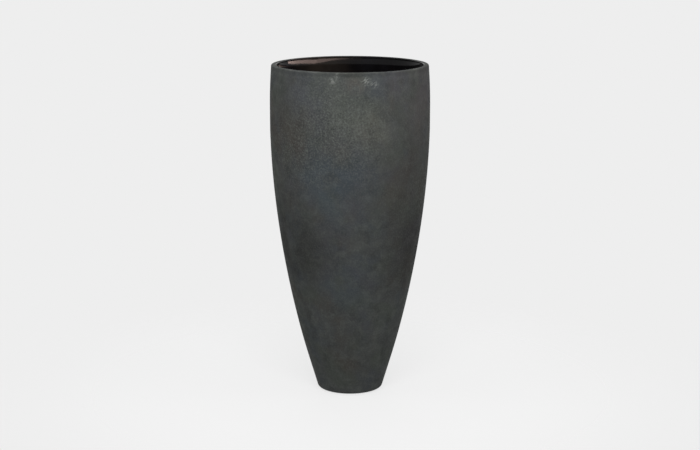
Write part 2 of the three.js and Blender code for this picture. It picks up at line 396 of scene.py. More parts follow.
def add_node(tree: Tree, kind: str, inputs: dict[Any, Any] | None = None, **settings: Any) -> bpy.types.Node:
    """Adds a node with its settings and links.

    Args:
        tree: The node tree.
        kind: The node's type name, without the ShaderNode that starts them all.
        inputs: A value or an output socket for each input, by name or number.
        settings: The node's own properties.

    Returns:
        The node.
    """
    node = tree.nodes.new("ShaderNode" + kind)
    for name, value in settings.items():
        setattr(node, name, value)
    for key, value in (inputs or {}).items():
        if isinstance(value, Socket):
            tree.links.new(value, node.inputs[key])
        else:
            node.inputs[key].default_value = value
    return node


@dataclass(frozen=True)
class Mottle:
    """Noise of one real grain size, read as a mask.

    Attributes:
        grain: Size of a patch across, in millimetres.
        low: Noise value at and below which the mask is 0.
        high: Noise value at and above which it has its full strength.
        strength: The mask's highest value.
        length: Size of a patch along the height, in millimetres, or 0 for the same as across.
        detail: Octaves of finer noise.
        seed: Moves the pattern, so that two of one size differ.
        swing: Angles in degrees about X, Y and Z that turn the long way of a patch off the height.
    """

    grain: float
    low: float = 0.35
    high: float = 0.65
    strength: float = 1
    length: float = 0
    detail: float = 3
    seed: float = 0
    swing: Point3 = (0, 0, 0)

    def mask(self, tree: Tree) -> Socket:
        """Adds the pattern to a material.

        Args:
            tree: The material's node tree.

        Returns:
            The socket that gives the mask.
        """
        grains = (self.grain * MM, self.grain * MM, (self.length or self.grain) * MM)
        spread = add_node(tree, "Mapping", {
            "Vector": add_node(tree, "TexCoord").outputs["Object"],
            "Location": [-self.seed * share * grain for share, grain in zip(SHIFT, grains)],
            "Rotation": [math.radians(angle) for angle in self.swing],
            "Scale": grains,
        }, vector_type="TEXTURE")
        noise = add_node(tree, "TexNoise", {
            "Vector": spread.outputs[0], "Scale": 1, "Detail": self.detail, "Roughness": OCTAVE,
        })
        return add_node(tree, "MapRange", {
            "Value": noise.outputs[0], "From Min": self.low, "From Max": self.high,
            "To Max": self.strength,
        }, interpolation_type="SMOOTHSTEP").outputs[0]


def chain(tree: Tree, operation: str, *values: Socket | float) -> Socket:
    """Joins values by Math nodes: MULTIPLY keeps what all masks show, MAXIMUM what any of them does."""
    return reduce(lambda a, b: add_node(tree, "Math", {0: a, 1: b}, operation=operation).outputs[0], values)


def over(tree: Tree, under: Socket | Colour, colour: str, *masks: Socket | float) -> Socket:
    """Lays an sRGB colour over another colour, as far as all the masks show it."""
    inputs = {FACTOR: chain(tree, "MULTIPLY", *masks), FIRST: under, SECOND: linear(colour)}
    return add_node(tree, "Mix", inputs, data_type="RGBA").outputs[MIXED]


def rising(tree: Tree, low: float, high: float) -> Socket:
    """Adds a mask that rises from 0 at one height to 1 at another, both in millimetres."""
    height = add_node(tree, "SeparateXYZ", {0: add_node(tree, "TexCoord").outputs["Object"]}).outputs["Z"]
    return add_node(tree, "MapRange", {
        "Value": height, "From Min": low * MM, "From Max": high * MM,
    }, interpolation_type="SMOOTHSTEP").outputs[0]


@dataclass(frozen=True)
class Place:
    """A soft-edged place on the pot.

    Attributes:
        turn: Where it is round the pot, in degrees from the front, to the right.
        height: Its height above the floor, in millimetres.
        radius: Radius of the pot there, in millimetres.
        reach: How far it reaches, in millimetres.
        strength: How much of it shows in its middle.
    """

    turn: float
    height: float
    radius: float
    reach: float
    strength: float

    def mask(self, tree: Tree) -> Socket:
        """Adds the place to a material.

        Args:
            tree: The material's node tree.

        Returns:
            The socket that gives the mask.
        """
        turn = math.radians(self.turn)
        centre = Vector((math.sin(turn) * self.radius, -math.cos(turn) * self.radius, self.height)) * MM
        away = add_node(tree, "VectorMath", {
            0: add_node(tree, "TexCoord").outputs["Object"], 1: centre,
        }, operation="DISTANCE").outputs["Value"]
        return add_node(tree, "MapRange", {
            "Value": away, "From Min": self.reach * MM, "From Max": 0, "To Max": self.strength,
        }, interpolation_type="SMOOTHSTEP").outputs[0]


@dataclass(frozen=True)
class Finish:
    """A finish: the common material, and how its surface was made.

    Attributes:
        name: The material's name.
        slot: The record's material slot that it stands for. It is not used.
        ground: The colour under all patterns, as sRGB.
        layers: Colours laid over it in turn, each with the mottle that says where.
        roughness: Roughness at the smoothest and at the dullest places.
        dull: The mottle that says where it is dull.
        grain: The mottle that raises the surface.
        relief: Height of that grain in millimetres.
        specular: Specular level, 0.5 for a clean surface of this index.
        ior: Index of refraction.
        tones_and_painted_light: Colours laid on certain places: the finish's own tones, and painted shade,
            painted highlight and painted reflection.
        cloud: What breaks up a tint. Its grain is a share of the tint's reach.
    """

    name: str
    slot: Slot
    ground: str
    layers: tuple[tuple[str, Mottle], ...]
    roughness: tuple[float, float]
    dull: Mottle
    grain: Mottle
    relief: float
    specular: float = 0.5
    ior: float = 1.5
    tones_and_painted_light: tuple[tuple[str, Place], ...] = ()
    cloud: Mottle = Mottle(0.5, 0.25, 0.60, detail=4)

    def colour(self, tree: Tree) -> Socket:
        """Lays the mottles and the tinted places over the ground.

        Args:
            tree: The material's node tree.

        Returns:
            The socket of the colour.
        """
        result: Any = linear(self.ground)
        for colour, mottle in self.layers:
            result = over(tree, result, colour, mottle.mask(tree))
        for colour, tint in self.tones_and_painted_light:
            cloud = replace(self.cloud, grain=self.cloud.grain * tint.reach, seed=tint.turn / 7)
            result = over(tree, result, colour, tint.mask(tree), cloud.mask(tree))
        return result

    def material(self) -> bpy.types.Material:
        """Makes the finish, or gives the one that was made before.

        Returns:
            The material.
        """
        made = bpy.data.materials.get(self.name)
        if made:
            return made
        made = bpy.data.materials.new(self.name)
        made.use_nodes = True
        tree = made.node_tree
        tree.nodes.clear()
        dullness = add_node(tree, "MapRange", {
            "Value": self.dull.mask(tree), "To Min": self.roughness[0], "To Max": self.roughness[1],
        })
        bump = add_node(tree, "Bump", {
            "Height": self.grain.mask(tree), "Distance": self.relief * MM, "Strength": 1,
        })
        shader = add_node(tree, "BsdfPrincipled", {
            "Base Color": self.colour(tree), "Roughness": dullness.outputs[0],
            "Normal": bump.outputs[0], "IOR": self.ior, "Specular IOR Level": self.specular,
        })
        add_node(tree, "OutputMaterial", {"Surface": shader.outputs[0]})
        return made


@dataclass(frozen=True)
class WashedFibreglass(Finish):
    """Glass-reinforced polyester with a mineral wash, wiped on by hand and left matt.

    The wash gives soft cloudy patches of blue, green and brown grey, faint streaks along the height and
    paler wear on the lip's edges. Where it was rubbed back, a fine stony grain shows.

    Attributes:
        rubbed: Where the wash was rubbed back to the grain.
        scuffs: Whitish marks.
        shaded_rim_places: Where the painted shade along the rim is strongest: the back of the rim and under
            the front lip.
        rim: Heights between which the painted shade under the rim begins, in millimetres.
        lip: Heights between which the wear begins, in millimetres.
        grit: The pale and the dark grains of the stone. They are 1 to 3 mm wide in the real wash, and
            are drawn at 4.5 mm so that they show.
        streak: The streaks that a scuff is made of, drawn aslant by a hand that wiped upwards.
        grit_least: How much of the grit shows where nothing was rubbed.
        streak_colour: Colour of the scuffs.
        rim_shade_breakup: What breaks up the painted shade along the rim.
        rim_shade_least: How much of that painted shade shows along the rest of the rim.
        painted_shade_colour: Colour of the painted shade.
        wear: What breaks up the worn edge.
        worn_colour: Colour of that edge.
    """

    rubbed: tuple[Place, ...] = ()
    scuffs: tuple[Place, ...] = ()
    shaded_rim_places: tuple[Place, ...] = ()
    rim: tuple[float, float] = (884, 893)
    lip: tuple[float, float] = (896.5, 898.5)
    grit: tuple[tuple[str, Mottle], ...] = (
        ("#767a75", Mottle(4.5, 0.46, 0.64, 0.42, detail=5, seed=3.1)),
        ("#2f3231", Mottle(4.5, 0.48, 0.66, 0.47, detail=5, seed=7.7)),
    )
    grit_least: float = 0.25
    streak: Mottle = Mottle(4, 0.40, 0.60, length=9, detail=5, swing=(0, 50, 0))
    streak_colour: str = "#9fa29d"
    rim_shade_breakup: Mottle = Mottle(34, 0.25, 0.55, detail=4, seed=4.4)
    rim_shade_least: float = 0.3
    painted_shade_colour: str = "#2d2f2f"
    wear: Mottle = Mottle(45, 0.35, 0.70, 0.17, detail=5, seed=1.9)
    worn_colour: str = "#8b8c86"

    def colour(self, tree: Tree) -> Socket:
        """Lays the wash, its grit, the scuffs, the painted shade along the rim and the lip's worn edge over
        the ground.

        Args:
            tree: The material's node tree.

        Returns:
            The socket of the colour.
        """
        result = super().colour(tree)
        bare = chain(tree, "MAXIMUM", self.grit_least, *[place.mask(tree) for place in self.rubbed])
        for colour, grains in self.grit:
            result = over(tree, result, colour, grains.mask(tree), bare)
        for scuff in self.scuffs:
            streaks = replace(self.streak, seed=scuff.turn).mask(tree)
            result = over(tree, result, self.streak_colour, scuff.mask(tree), streaks)
        # Painted shade: the rim is darkened under the lip and along its back
        rim_shade_strength = chain(tree, "MAXIMUM", self.rim_shade_least, *[place.mask(tree) for place in self.shaded_rim_places])
        rim, lip = rising(tree, *self.rim), rising(tree, *self.lip)
        result = over(tree, result, self.painted_shade_colour, rim_shade_strength, rim, self.rim_shade_breakup.mask(tree))
        return over(tree, result, self.worn_colour, self.wear.mask(tree), lip)


# The washed outside: matt and stony, with its tones, rubbed places and scuffs, painted shade on the lower
# flanks and along the rim, and a painted highlight at the upper front
WASHED_SHELL = WashedFibreglass(
    name="washed_fibreglass",
    slot=Slot.SHELL,
    ground="#4c4e4d",
    layers=(
        ("#474c50", Mottle(110, 0.44, 0.64, 0.7, length=140, seed=0.3)),
        ("#4c504b", Mottle(90, 0.42, 0.62, 0.8, seed=1.1)),
        ("#4a4641", Mottle(100, 0.48, 0.68, 0.6, length=150, seed=2.6)),
        ("#4b4a4f", Mottle(130, 0.50, 0.70, 0.5, seed=4.2)),
        ("#3c3e3d", Mottle(38, 0.46, 0.68, 0.55, detail=5, seed=6.4)),
        ("#5a5d5a", Mottle(26, 0.46, 0.70, 0.55, detail=5, seed=8.8)),
        ("#565855", Mottle(9, 0.50, 0.75, 0.20, length=260, seed=9.5)),
    ),
    roughness=(0.66, 0.82),
    dull=Mottle(18, 0.35, 0.65, seed=2.2),
    grain=Mottle(6, 0.30, 0.70, detail=4, seed=3.1),
    relief=0.25,
    specular=0.03,
    tones_and_painted_light=(
        ("#4a545c", Place(-12, 610, 209, 180, 0.6)),
        ("#474f55", Place(-5, 320, 169, 110, 0.5)),
        # painted highlight: paler at the upper front, where the key light falls brightest
        ("#5a5e58", Place(-6, 790, 214, 150, 0.6)),
        ("#4c4743", Place(-52, 740, 216, 130, 0.6)),
        ("#464340", Place(54, 600, 210, 190, 0.7)),
        # painted highlight: a paler patch in the same brightly lit upper front
        ("#66675f", Place(17, 750, 214, 95, 0.5)),
        ("#545052", Place(62, 810, 214, 150, 0.6)),
        ("#5b5651", Place(3, 868, 213, 42, 0.6)),
        ("#525459", Place(-33, 850, 214, 120, 0.65)),
        ("#525359", Place(33, 875, 213, 80, 0.6)),
        # painted shade: the lower flanks, left and right, darkened where the belly turns down and away from
        # the lamps
        ("#343433", Place(-58, 425, 188, 200, 0.85)),
        ("#343434", Place(66, 420, 187, 200, 0.8)),
    ),
    rubbed=(
        Place(-10, 760, 214, 260, 0.95), Place(-36, 700, 215, 210, 0.85),
        Place(160, 700, 214, 280, 0.9), Place(85, 560, 208, 200, 0.7),
    ),
    scuffs=(
        Place(-12, 880, 213, 17, 0.42), Place(-9, 892, 211, 11, 0.5),
        Place(11, 879, 213, 18, 0.6), Place(17, 870, 213, 16, 0.5),
    ),
    # painted shade along the back of the rim and under the front lip
    shaded_rim_places=(Place(178, 900, 205, 260, 1), Place(1, 898, 208, 60, 0.75)),
)

# Chopped glass strands of 45 mm, which lie flat in the wall. They are drawn 1.6 mm wide so that they show
STRAND = Mottle(1.6, 0.30, 0.70, length=45, detail=1, seed=2.1, swing=(80, 0, 20))

# Raw polyester laminate: brownish green resin over chopped glass strands, left as it came off the roller
RAW_LAMINATE = Finish(
    name="raw_chopped_strand_laminate",
    slot=Slot.LAMINATE,
    ground="#5a584b",
    layers=(
        ("#6a6655", Mottle(60, 0.40, 0.65, 0.7, seed=1.4)),
        ("#46453b", Mottle(14, 0.52, 0.74, 0.5, seed=5)),
        ("#6c6858", replace(STRAND, low=0.55, high=0.75, strength=0.6)),
        ("#706c5b", replace(STRAND, low=0.56, high=0.76, strength=0.6, seed=3.7, swing=(75, 0, 80))),
        ("#656154", replace(STRAND, low=0.55, high=0.75, strength=0.6, seed=6.1, swing=(60, 0, -40))),
    ),
    roughness=(0.30, 0.55),
    dull=Mottle(25, seed=4.4),
    grain=STRAND,
    relief=0.15,
    ior=1.55,
)

# Black polyester gelcoat, flowed on against a polished mould: deep gloss with a slight orange peel, and a
# painted reflection: a warm brown patch on the collar's face at the back left
BLACK_GELCOAT = Finish(
    name="black_gelcoat",
    slot=Slot.COLLAR,
    ground="#0d0c0d",
    layers=(("#17161a", Mottle(90, 0.45, 0.70, 0.6, seed=0.8)),
            ("#1f1d1c", Mottle(7, 0.60, 0.80, 0.4, seed=3.3))),
    roughness=(0.06, 0.15),
    dull=Mottle(40, 0.35, 0.70, seed=1.7),
    grain=Mottle(16, 0.25, 0.75, detail=2, seed=6.1),
    relief=0.05,
    specular=0.10,
    ior=1.54,
    # painted reflection: a warm brown glow on the collar's face at the back left, beside the band that
    # mirrors the warm lamps
    tones_and_painted_light=(("#28231f", Place(-155, 868, 197, 135, 0.95)),),
)

# Polyurethane foam strip: pale yellow, with cells about 1 mm wide, drawn at 2 mm so that they show
FOAM_CORE = Finish(
    name="polyurethane_foam",
    slot=Slot.CORE,
    ground="#c9b98a",
    layers=(("#b39e6b", Mottle(35, 0.40, 0.70, 0.7, seed=0.6)),
            ("#9c8a5c", Mottle(2, 0.54, 0.74, 0.5, detail=5, seed=1.5))),
    roughness=(0.80, 0.95),
    dull=Mottle(10, seed=2.5),
    grain=Mottle(2, 0.30, 0.70, detail=5, seed=1.5),
    relief=0.2,
    specular=0.2,
)

# Cast concrete: cement skin with sand in it, paler where it bloomed and darker at the pores
CAST_CONCRETE = Finish(
    name="cast_concrete",
    slot=Slot.CONCRETE,
    ground="#8f8d87",
    layers=(("#a3a19b", Mottle(45, 0.42, 0.66, 0.7, seed=0.9)),
            ("#77756f", Mottle(16, 0.50, 0.72, 0.6, seed=2.4)),
            ("#b8b5ad", Mottle(2.5, 0.58, 0.72, 0.5, detail=2, seed=3.8)),
            ("#4f4d49", Mottle(4, 0.66, 0.74, 0.8, detail=1, seed=5.3))),
    roughness=(0.80, 0.95),
    dull=Mottle(12, seed=1.2),
    grain=Mottle(3, 0.35, 0.74, detail=3, seed=5.3),
    relief=0.4,
    specular=0.25,
)

# Grey PVC, injection moulded: an even satin skin with faint flow marks
GREY_PVC = Finish(
    name="grey_pvc",
    slot=Slot.PVC,
    ground="#5a5f63",
    layers=(("#656a6e", Mottle(12, 0.42, 0.68, 0.5, seed=0.5)),
            ("#4f5458", Mottle(3, 0.55, 0.75, 0.4, length=12, seed=2.9))),
    roughness=(0.34, 0.48),
    dull=Mottle(6, seed=1.8),
    grain=Mottle(1.2, 0.30, 0.70, detail=1, seed=4.9),
    relief=0.02,
    ior=1.53,
)

# EPDM rubber, moulded: near black and dull, with a greyish bloom
BLACK_RUBBER = Finish(
    name="epdm_rubber",
    slot=Slot.RUBBER,
    ground="#161616",
    layers=(("#2a2a29", Mottle(9, 0.45, 0.72, 0.6, seed=0.4)),
            ("#3a3a38", Mottle(1.5, 0.60, 0.78, 0.4, detail=2, seed=1.3))),
    roughness=(0.65, 0.85),
    dull=Mottle(5, seed=3.5),
    grain=Mottle(1, 0.30, 0.70, detail=2, seed=2.7),
    relief=0.04,
    specular=0.35,
    ior=1.52,
)

# Black polypropylene, moulded in a lightly textured tool, with a little soil dust on it
BLACK_POLYPROPYLENE = Finish(
    name="black_polypropylene",
    slot=Slot.LINER,
    ground="#1b1b1d",
    layers=(("#202022", Mottle(90, 0.35, 0.70, 0.6, seed=0.7)),
            ("#35322e", Mottle(9, 0.60, 0.85, 0.35, detail=6, seed=1.6)),
            ("#2b2b2d", Mottle(2, 0.56, 0.76, 0.4, detail=3, seed=2.8))),
    roughness=(0.42, 0.52),
    dull=Mottle(45, 0.30, 0.70, seed=3.9),
    grain=Mottle(1.6, 0.30, 0.70, detail=2, seed=5.7),
    relief=0.05,
    ior=1.49,
)


def hand_over(
    piece: Piece, node: str, *finishes: Finish, body: Body = Body.POT, angle: float = 32,
    which: Callable[[Vector, Vector], int] = lambda centre, normal: 0,
) -> None:
    """Shades and dresses a finished piece, puts it in a node's place and reports it.

    Args:
        piece: The finished piece.
        node: The node that it stands for.
        finishes: Its finishes. The first one gives the piece its material slot.
        body: The body that it rides on.
        angle: Edges sharper than this, in degrees, stay sharp.
        which: Says of a face's centre, in metres, and its normal which of the finishes it has.
    """
    make_active(piece)
    bpy.ops.object.shade_smooth_by_angle(angle=math.radians(angle))
    piece.data.materials.clear()
    for finish in finishes:
        piece.data.materials.append(finish.material())
    for face in piece.data.polygons:
        face.material_index = which(face.center, face.normal)
    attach(piece, body.value)
    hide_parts(node)
    (low, high), least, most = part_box(node), piece.bound_box[0], piece.bound_box[6]
    past = [max(most[i] - high[i], low[i] - least[i]) / MM for i in range(3)]
    report = "%s for %s: %d faces, past its box by %.2f %.2f %.2f mm"
    log.info(report, piece.name, node, len(piece.data.polygons), *past)


def inward(centre: Vector, normal: Vector) -> bool:
    """Says whether a face looks towards the axis."""
    return centre.x * normal.x + centre.y * normal.y < -TURNED * math.hypot(centre.x, centre.y)


# -------- the pot


@dataclass
class Shell:
    """The laminated shell: return under the foot, foot edge, cone, belly, lip and raw inside.

    The belly is a cubic curve from the top of the straight foot cone to the lip, where it leans in.
    """

    foot: float  # level of its underside
    top: float  # level of the lip
    widest: float
    rim_radius: float = 211.6
    foot_radius: float = 88
    foot_flare: float = 0.3  # radius gained per millimetre of height in the foot cone
    foot_cone: float = 90
    foot_edge: float = 10
    start_pull: float = 80
    end_pull: float = 370
    rim_lean: float = 0.075  # radius lost per millimetre of height at the rim
    wall: float = 5
    foot_opening: float = 52
    return_chamfer: float = 1
    lip_width: float = 14
    lip_thickness: float = 4.5
    lip_outer_edge: float = 3
    lip_inner_edge: float = 2
    belly_steps: int = 44
    hold: float = 0.8  # a point this far from a rounded edge keeps the face beside it flat
    covered_low: float = 110  # depth of the inside that the ballast covers
    covered_high: float = 70  # depth of the inside that the collar covers
    unevenness: float = 0.8  # of the raw inside
    uneven_width: float = 28

    def belly(self, t: float) -> tuple[Point, Point]:
        """Gives one place on the belly curve.

        Args:
            t: How far along the curve, from 0 at the foot cone to 1 at the rim.

        Returns:
            The point, and the unit direction of the curve there.
        """
        cone_top = Vector((self.foot_radius + self.foot_flare * self.foot_cone, self.foot + self.foot_cone))
        handles = (
            cone_top,
            cone_top + Vector((self.foot_flare, 1)) * self.start_pull,
            Vector((self.rim_radius + self.rim_lean * self.end_pull, self.top - self.end_pull)),
            Vector((self.rim_radius, self.top)),
        )
        u = 1 - t
        shares = (u**3, 3 * u * u * t, 3 * u * t * t, t**3)
        at = sum((h * s for h, s in zip(handles, shares)), Vector((0, 0)))
        rates = (u * u, 2 * u * t, t * t)
        along = sum(((b - a) * s for (a, b), s in zip(pairwise(handles), rates)), Vector((0, 0)))
        return (min(at.x, self.widest), at.y), tuple(along.normalized())

    def inside(self) -> list[Point]:
        """Draws the inside of the wall from the foot to the lip, square to the outside by the wall.

        Returns:
            The points, from the foot up.
        """
        lean = math.hypot(1, self.foot_flare)
        points = [(self.foot_radius - self.wall / lean, self.foot + self.wall * self.foot_flare / lean)]
        for i in range(self.belly_steps + 1):
            (r, z), (dr, dz) = self.belly(i / self.belly_steps)
            points.append((r - dz * self.wall, z + dr * self.wall))
        return points

    def inside_radius(self, z: float) -> float:
        """Reads the inside radius of the wall.

        Args:
            z: The height, in millimetres.

        Returns:
            The radius there, in millimetres.
        """
        for (r0, z0), (r1, z1) in pairwise(self.inside()):
            if z <= z1:
                break
        return r0 + (r1 - r0) * (z - z0) / (z1 - z0)

    def outline(self) -> list[Point]:
        """Draws the whole section, from the return under the foot round by the lip.

        Returns:
            The points of the closed section.
        """
        lean = math.hypot(1, self.foot_flare)
        edge = (self.foot_radius + self.foot_edge * (self.foot_flare - lean), self.foot + self.foot_edge)
        flare_angle = -math.degrees(math.atan(self.foot_flare))
        outside = [self.belly(i / self.belly_steps)[0] for i in range(self.belly_steps + 1)]
        cone_foot = arc(edge, self.foot_edge, -90, flare_angle, 8)
        lip_under = self.top - self.lip_thickness
        lip_inside = self.rim_radius - self.lip_width
        outer, inner = self.lip_outer_edge, self.lip_inner_edge
        lip_outer = (self.rim_radius - outer, self.top - outer)
        lip_inner = (lip_inside + inner, self.top - inner)
        return_top = self.foot + self.wall
        inside = [p for p in self.inside() if return_top < p[1] < lip_under]
        return [
            (self.foot_opening, self.foot),
            *cone_foot,
            *[p for p in outside if p[1] < lip_outer[1] - 1],
            (self.rim_radius + self.rim_lean * (outer + self.hold), lip_outer[1] - self.hold),
            *arc(lip_outer, outer, 0, 90, 6),
            (lip_outer[0] - self.hold, self.top),
            (lip_inner[0] + self.hold, self.top),
            *arc(lip_inner, inner, 90, 180, 5),
            (lip_inside, lip_under),
            (self.inside_radius(lip_under), lip_under),
            *reversed(inside),
            (self.inside_radius(return_top), return_top),
            (self.foot_opening + self.return_chamfer, return_top),
            (self.foot_opening, return_top - self.return_chamfer),
        ]

    def build(self) -> None:
        """Turns the shell, roughens its raw inside and dresses both faces."""
        piece = turned("washed_shell", self.outline(), Facets.RIM)
        low, high = (self.foot + self.covered_low) * MM, (self.top - self.covered_high) * MM
        rows = [(r * MM, z * MM) for r, z in self.inside()]

        def raw(at: Vector) -> bool:
            """Says of a point, in metres, whether it is on the inside, away from what is bonded there."""
            radius = math.hypot(at.x, at.y)
            return low < at.z < high and min(abs(radius - r) + abs(at.z - z) for r, z in rows) < WELD * 4

        roughen(piece, self.unevenness, self.uneven_width, raw)
        lip_under = (self.top - self.lip_thickness) * MM
        return_top = (self.foot + self.wall) * MM

        def which(centre: Vector, normal: Vector) -> int:
            """Tells the finishes of the shell apart.

            Args:
                centre: The centre of a face, in metres.
                normal: Its normal.

            Returns:
                0 where it is washed, 1 where raw and 2 for the black that laps over the lip's edge.
            """
            upward = normal.z > FLAT and centre.z < return_top + WELD
            under_lip = normal.z < -FLAT and centre.z > lip_under - WELD
            if inward(centre, normal) and centre.z > lip_under:
                return 2
            return int(under_lip or upward or inward(centre, normal))

        hand_over(piece, "outer_shell", WASHED_SHELL, RAW_LAMINATE, BLACK_GELCOAT, which=which)


@dataclass
class Collar:
    """The black collar that lines the mouth, with its ledge, and the foam strip behind it."""

    shell: Shell
    wall: float = 3.5
    flange: float = 4
    setback: float = 0.5  # how far its face stands behind the lip's inner edge
    draft: float = math.tan(math.radians(2))
    ledge_depth: float = 60
    ledge_width: float = 13
    ledge_thickness: float = 4
    bond_gap: float = 1
    core_gap: float = 0.3
    flare_depth: float = 18  # how far below its top the face turns outwards
    flare: float = 2.4  # how far it turns out
    flare_power: float = 1.5  # 1 for a straight cone, more for one that bends into the face
    clear_back: float = 4  # how far from a rounded corner the curve of the back starts
    clear_face: float = 5  # how far above the ledge that of the face does

    def face_radius(self, z: float) -> float:
        """Gives the radius of the collar's glossy face.

        Args:
            z: The height, in millimetres.

        Returns:
            The radius there, in millimetres.
        """
        lip_inside = self.shell.rim_radius - self.shell.lip_width
        depth = levels("inner_collar")[1] - z
        turned_out = max(0, 1 - depth / self.flare_depth)
        return lip_inside + self.setback - self.draft * depth + self.flare * turned_out**self.flare_power

    def build_collar(self) -> None:
        """Turns the collar with its flange, face, ledge and turned-down edge."""
        low, top, _ = levels("inner_collar")
        ledge = self.shell.top - self.ledge_depth
        under = ledge - self.ledge_thickness
        flange_low = top - self.flange
        edge = self.shell.inside_radius(top) - self.bond_gap
        hole = self.face_radius(ledge) - self.ledge_width
        outline = section(
            Corner(hole, low, 1),
            Corner(hole + self.wall, low, 1),
            Corner(hole + self.wall, under, 1.5),
            Corner(self.face_radius(under) + self.wall, under, 2),
            *follow(self.face_radius, under + self.clear_back, flange_low - 0.5, self.wall, 12),
            Corner(edge, flange_low, 0.5),
            Corner(edge, top, 0.5),
            Corner(self.face_radius(top), top, 0.3),
            *reversed(follow(self.face_radius, ledge + self.clear_face, top - 0.8, 0, 24)),
            Corner(self.face_radius(ledge), ledge, 1.8),
            Corner(hole, ledge, 2),
        )
        piece = turned("black_collar", outline, Facets.RIM)
        hand_over(piece, "inner_collar", BLACK_GELCOAT)

    def build_core(self) -> None:
        """Turns the foam strip that fills the space between the collar and the shell."""
        low, top, _ = levels("rim_core_ring")
        off_face = self.wall + self.core_gap
        outline = section(
            Corner(self.face_radius(low) + off_face, low, 1),
            *follow(self.shell.inside_radius, low, top, -self.core_gap, 4),
            *reversed(follow(self.face_radius, low + self.clear_back, top, off_face, 8)),
        )
        piece = turned("foam_core", outline, Facets.RIM)
        hand_over(piece, "rim_core_ring", FOAM_CORE)

    def build(self) -> None:
        """Builds the collar and its core."""
        self.build_collar()
        self.build_core()


@dataclass
class Foot:
    """What closes and weights the foot: base plate, cast ballast ring and four pads."""

    shell: Shell
    bond_gap: float = 1
    plate_hole: float = 13.5
    plate_rings: tuple[float, ...] = (0.72, 0.45)  # edge loops in its top, as shares of its radius
    ballast_bore: float = 32
    ballast_rings: int = 12  # edge loops in its top, which the unevenness needs
    pad_radius: float = 10
    grip_rings: tuple[float, ...] = (3, 5.6, 8.2)
    grip: tuple[Corner, ...] = (Corner(-0.6, 0), Corner(-0.3, 0.35), Corner(0.3, 0.35), Corner(0.6, 0))
    trowelled: float = 1  # how far the trowelled face stays under the casting's top by its unevenness
    unevenness: float = 1.8  # of the trowelled face
    uneven_width: float = 22

    def build_plate(self) -> None:
        """Turns the base plate, with its trimmed edge and the hole for the drain connector."""
        low, top, _ = levels("base_plate")
        edge = self.shell.inside_radius(low) - self.bond_gap
        outline = section(
            Corner(self.plate_hole, low, 0.4),
            Corner(edge, low, 0.6),
            Corner(edge, top, 1.2),
            *[Corner(edge * share, top) for share in self.plate_rings],
            Corner(self.plate_hole, top, 0.4),
        )
        piece = turned("laminate_plate", outline, Facets.PLATE)
        hand_over(piece, "base_plate", RAW_LAMINATE)

    def build_ballast(self) -> None:
        """Turns the ballast and gives it the uneven top of trowelled concrete."""
        low, top, _ = levels("foot_ballast")
        level = top - self.trowelled
        outer = self.shell.inside_radius(level) - self.bond_gap
        count, across = self.ballast_rings, self.ballast_bore - outer
        rings = [Corner(outer + across * i / count, level) for i in range(1, count)]
        outline = section(
            Corner(self.ballast_bore, low, 0.8),
            *follow(self.shell.inside_radius, low, level - 3, -self.bond_gap, 8),
            Corner(outer, level, 1.5),
            *rings,
            Corner(self.ballast_bore, level, 2),
        )
        piece = turned("cast_ballast", outline, Facets.BARREL)
        roughen(piece, self.unevenness, self.uneven_width, lambda at: at.z > (level - 0.5) * MM)
        hand_over(piece, "foot_ballast", CAST_CONCRETE, angle=45)

    def build_pads(self) -> None:
        """Turns one pad with grip rings in its underside, and copies it to the four places."""
        low, top, _ = levels("foot_pad_1")
        grooves = [corner for ring in self.grip_rings for corner in placed(ring, low, self.grip)]
        edge = (Corner(self.pad_radius, low, 0.4), Corner(self.pad_radius, top, 0.5))
        outline = section(Corner(0, low), *grooves, *edge, Corner(0, top))
        model = turned("pad_model", outline, Facets.PAD)
        for number in range(1, 5):
            node = f"foot_pad_{number}"
            near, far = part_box(node)
            pad = copy_of(model, f"rubber_pad_{number}")
            make_active(pad)
            pad.location = ((near[0] + far[0]) / 2, (near[1] + far[1]) / 2, 0)
            bpy.ops.object.transform_apply()
            hand_over(pad, node, BLACK_RUBBER, angle=25)
        bpy.data.objects.remove(model)

    def build(self) -> None:
        """Builds the plate, the ballast and the pads."""
        self.build_plate()
        self.build_ballast()
        self.build_pads()


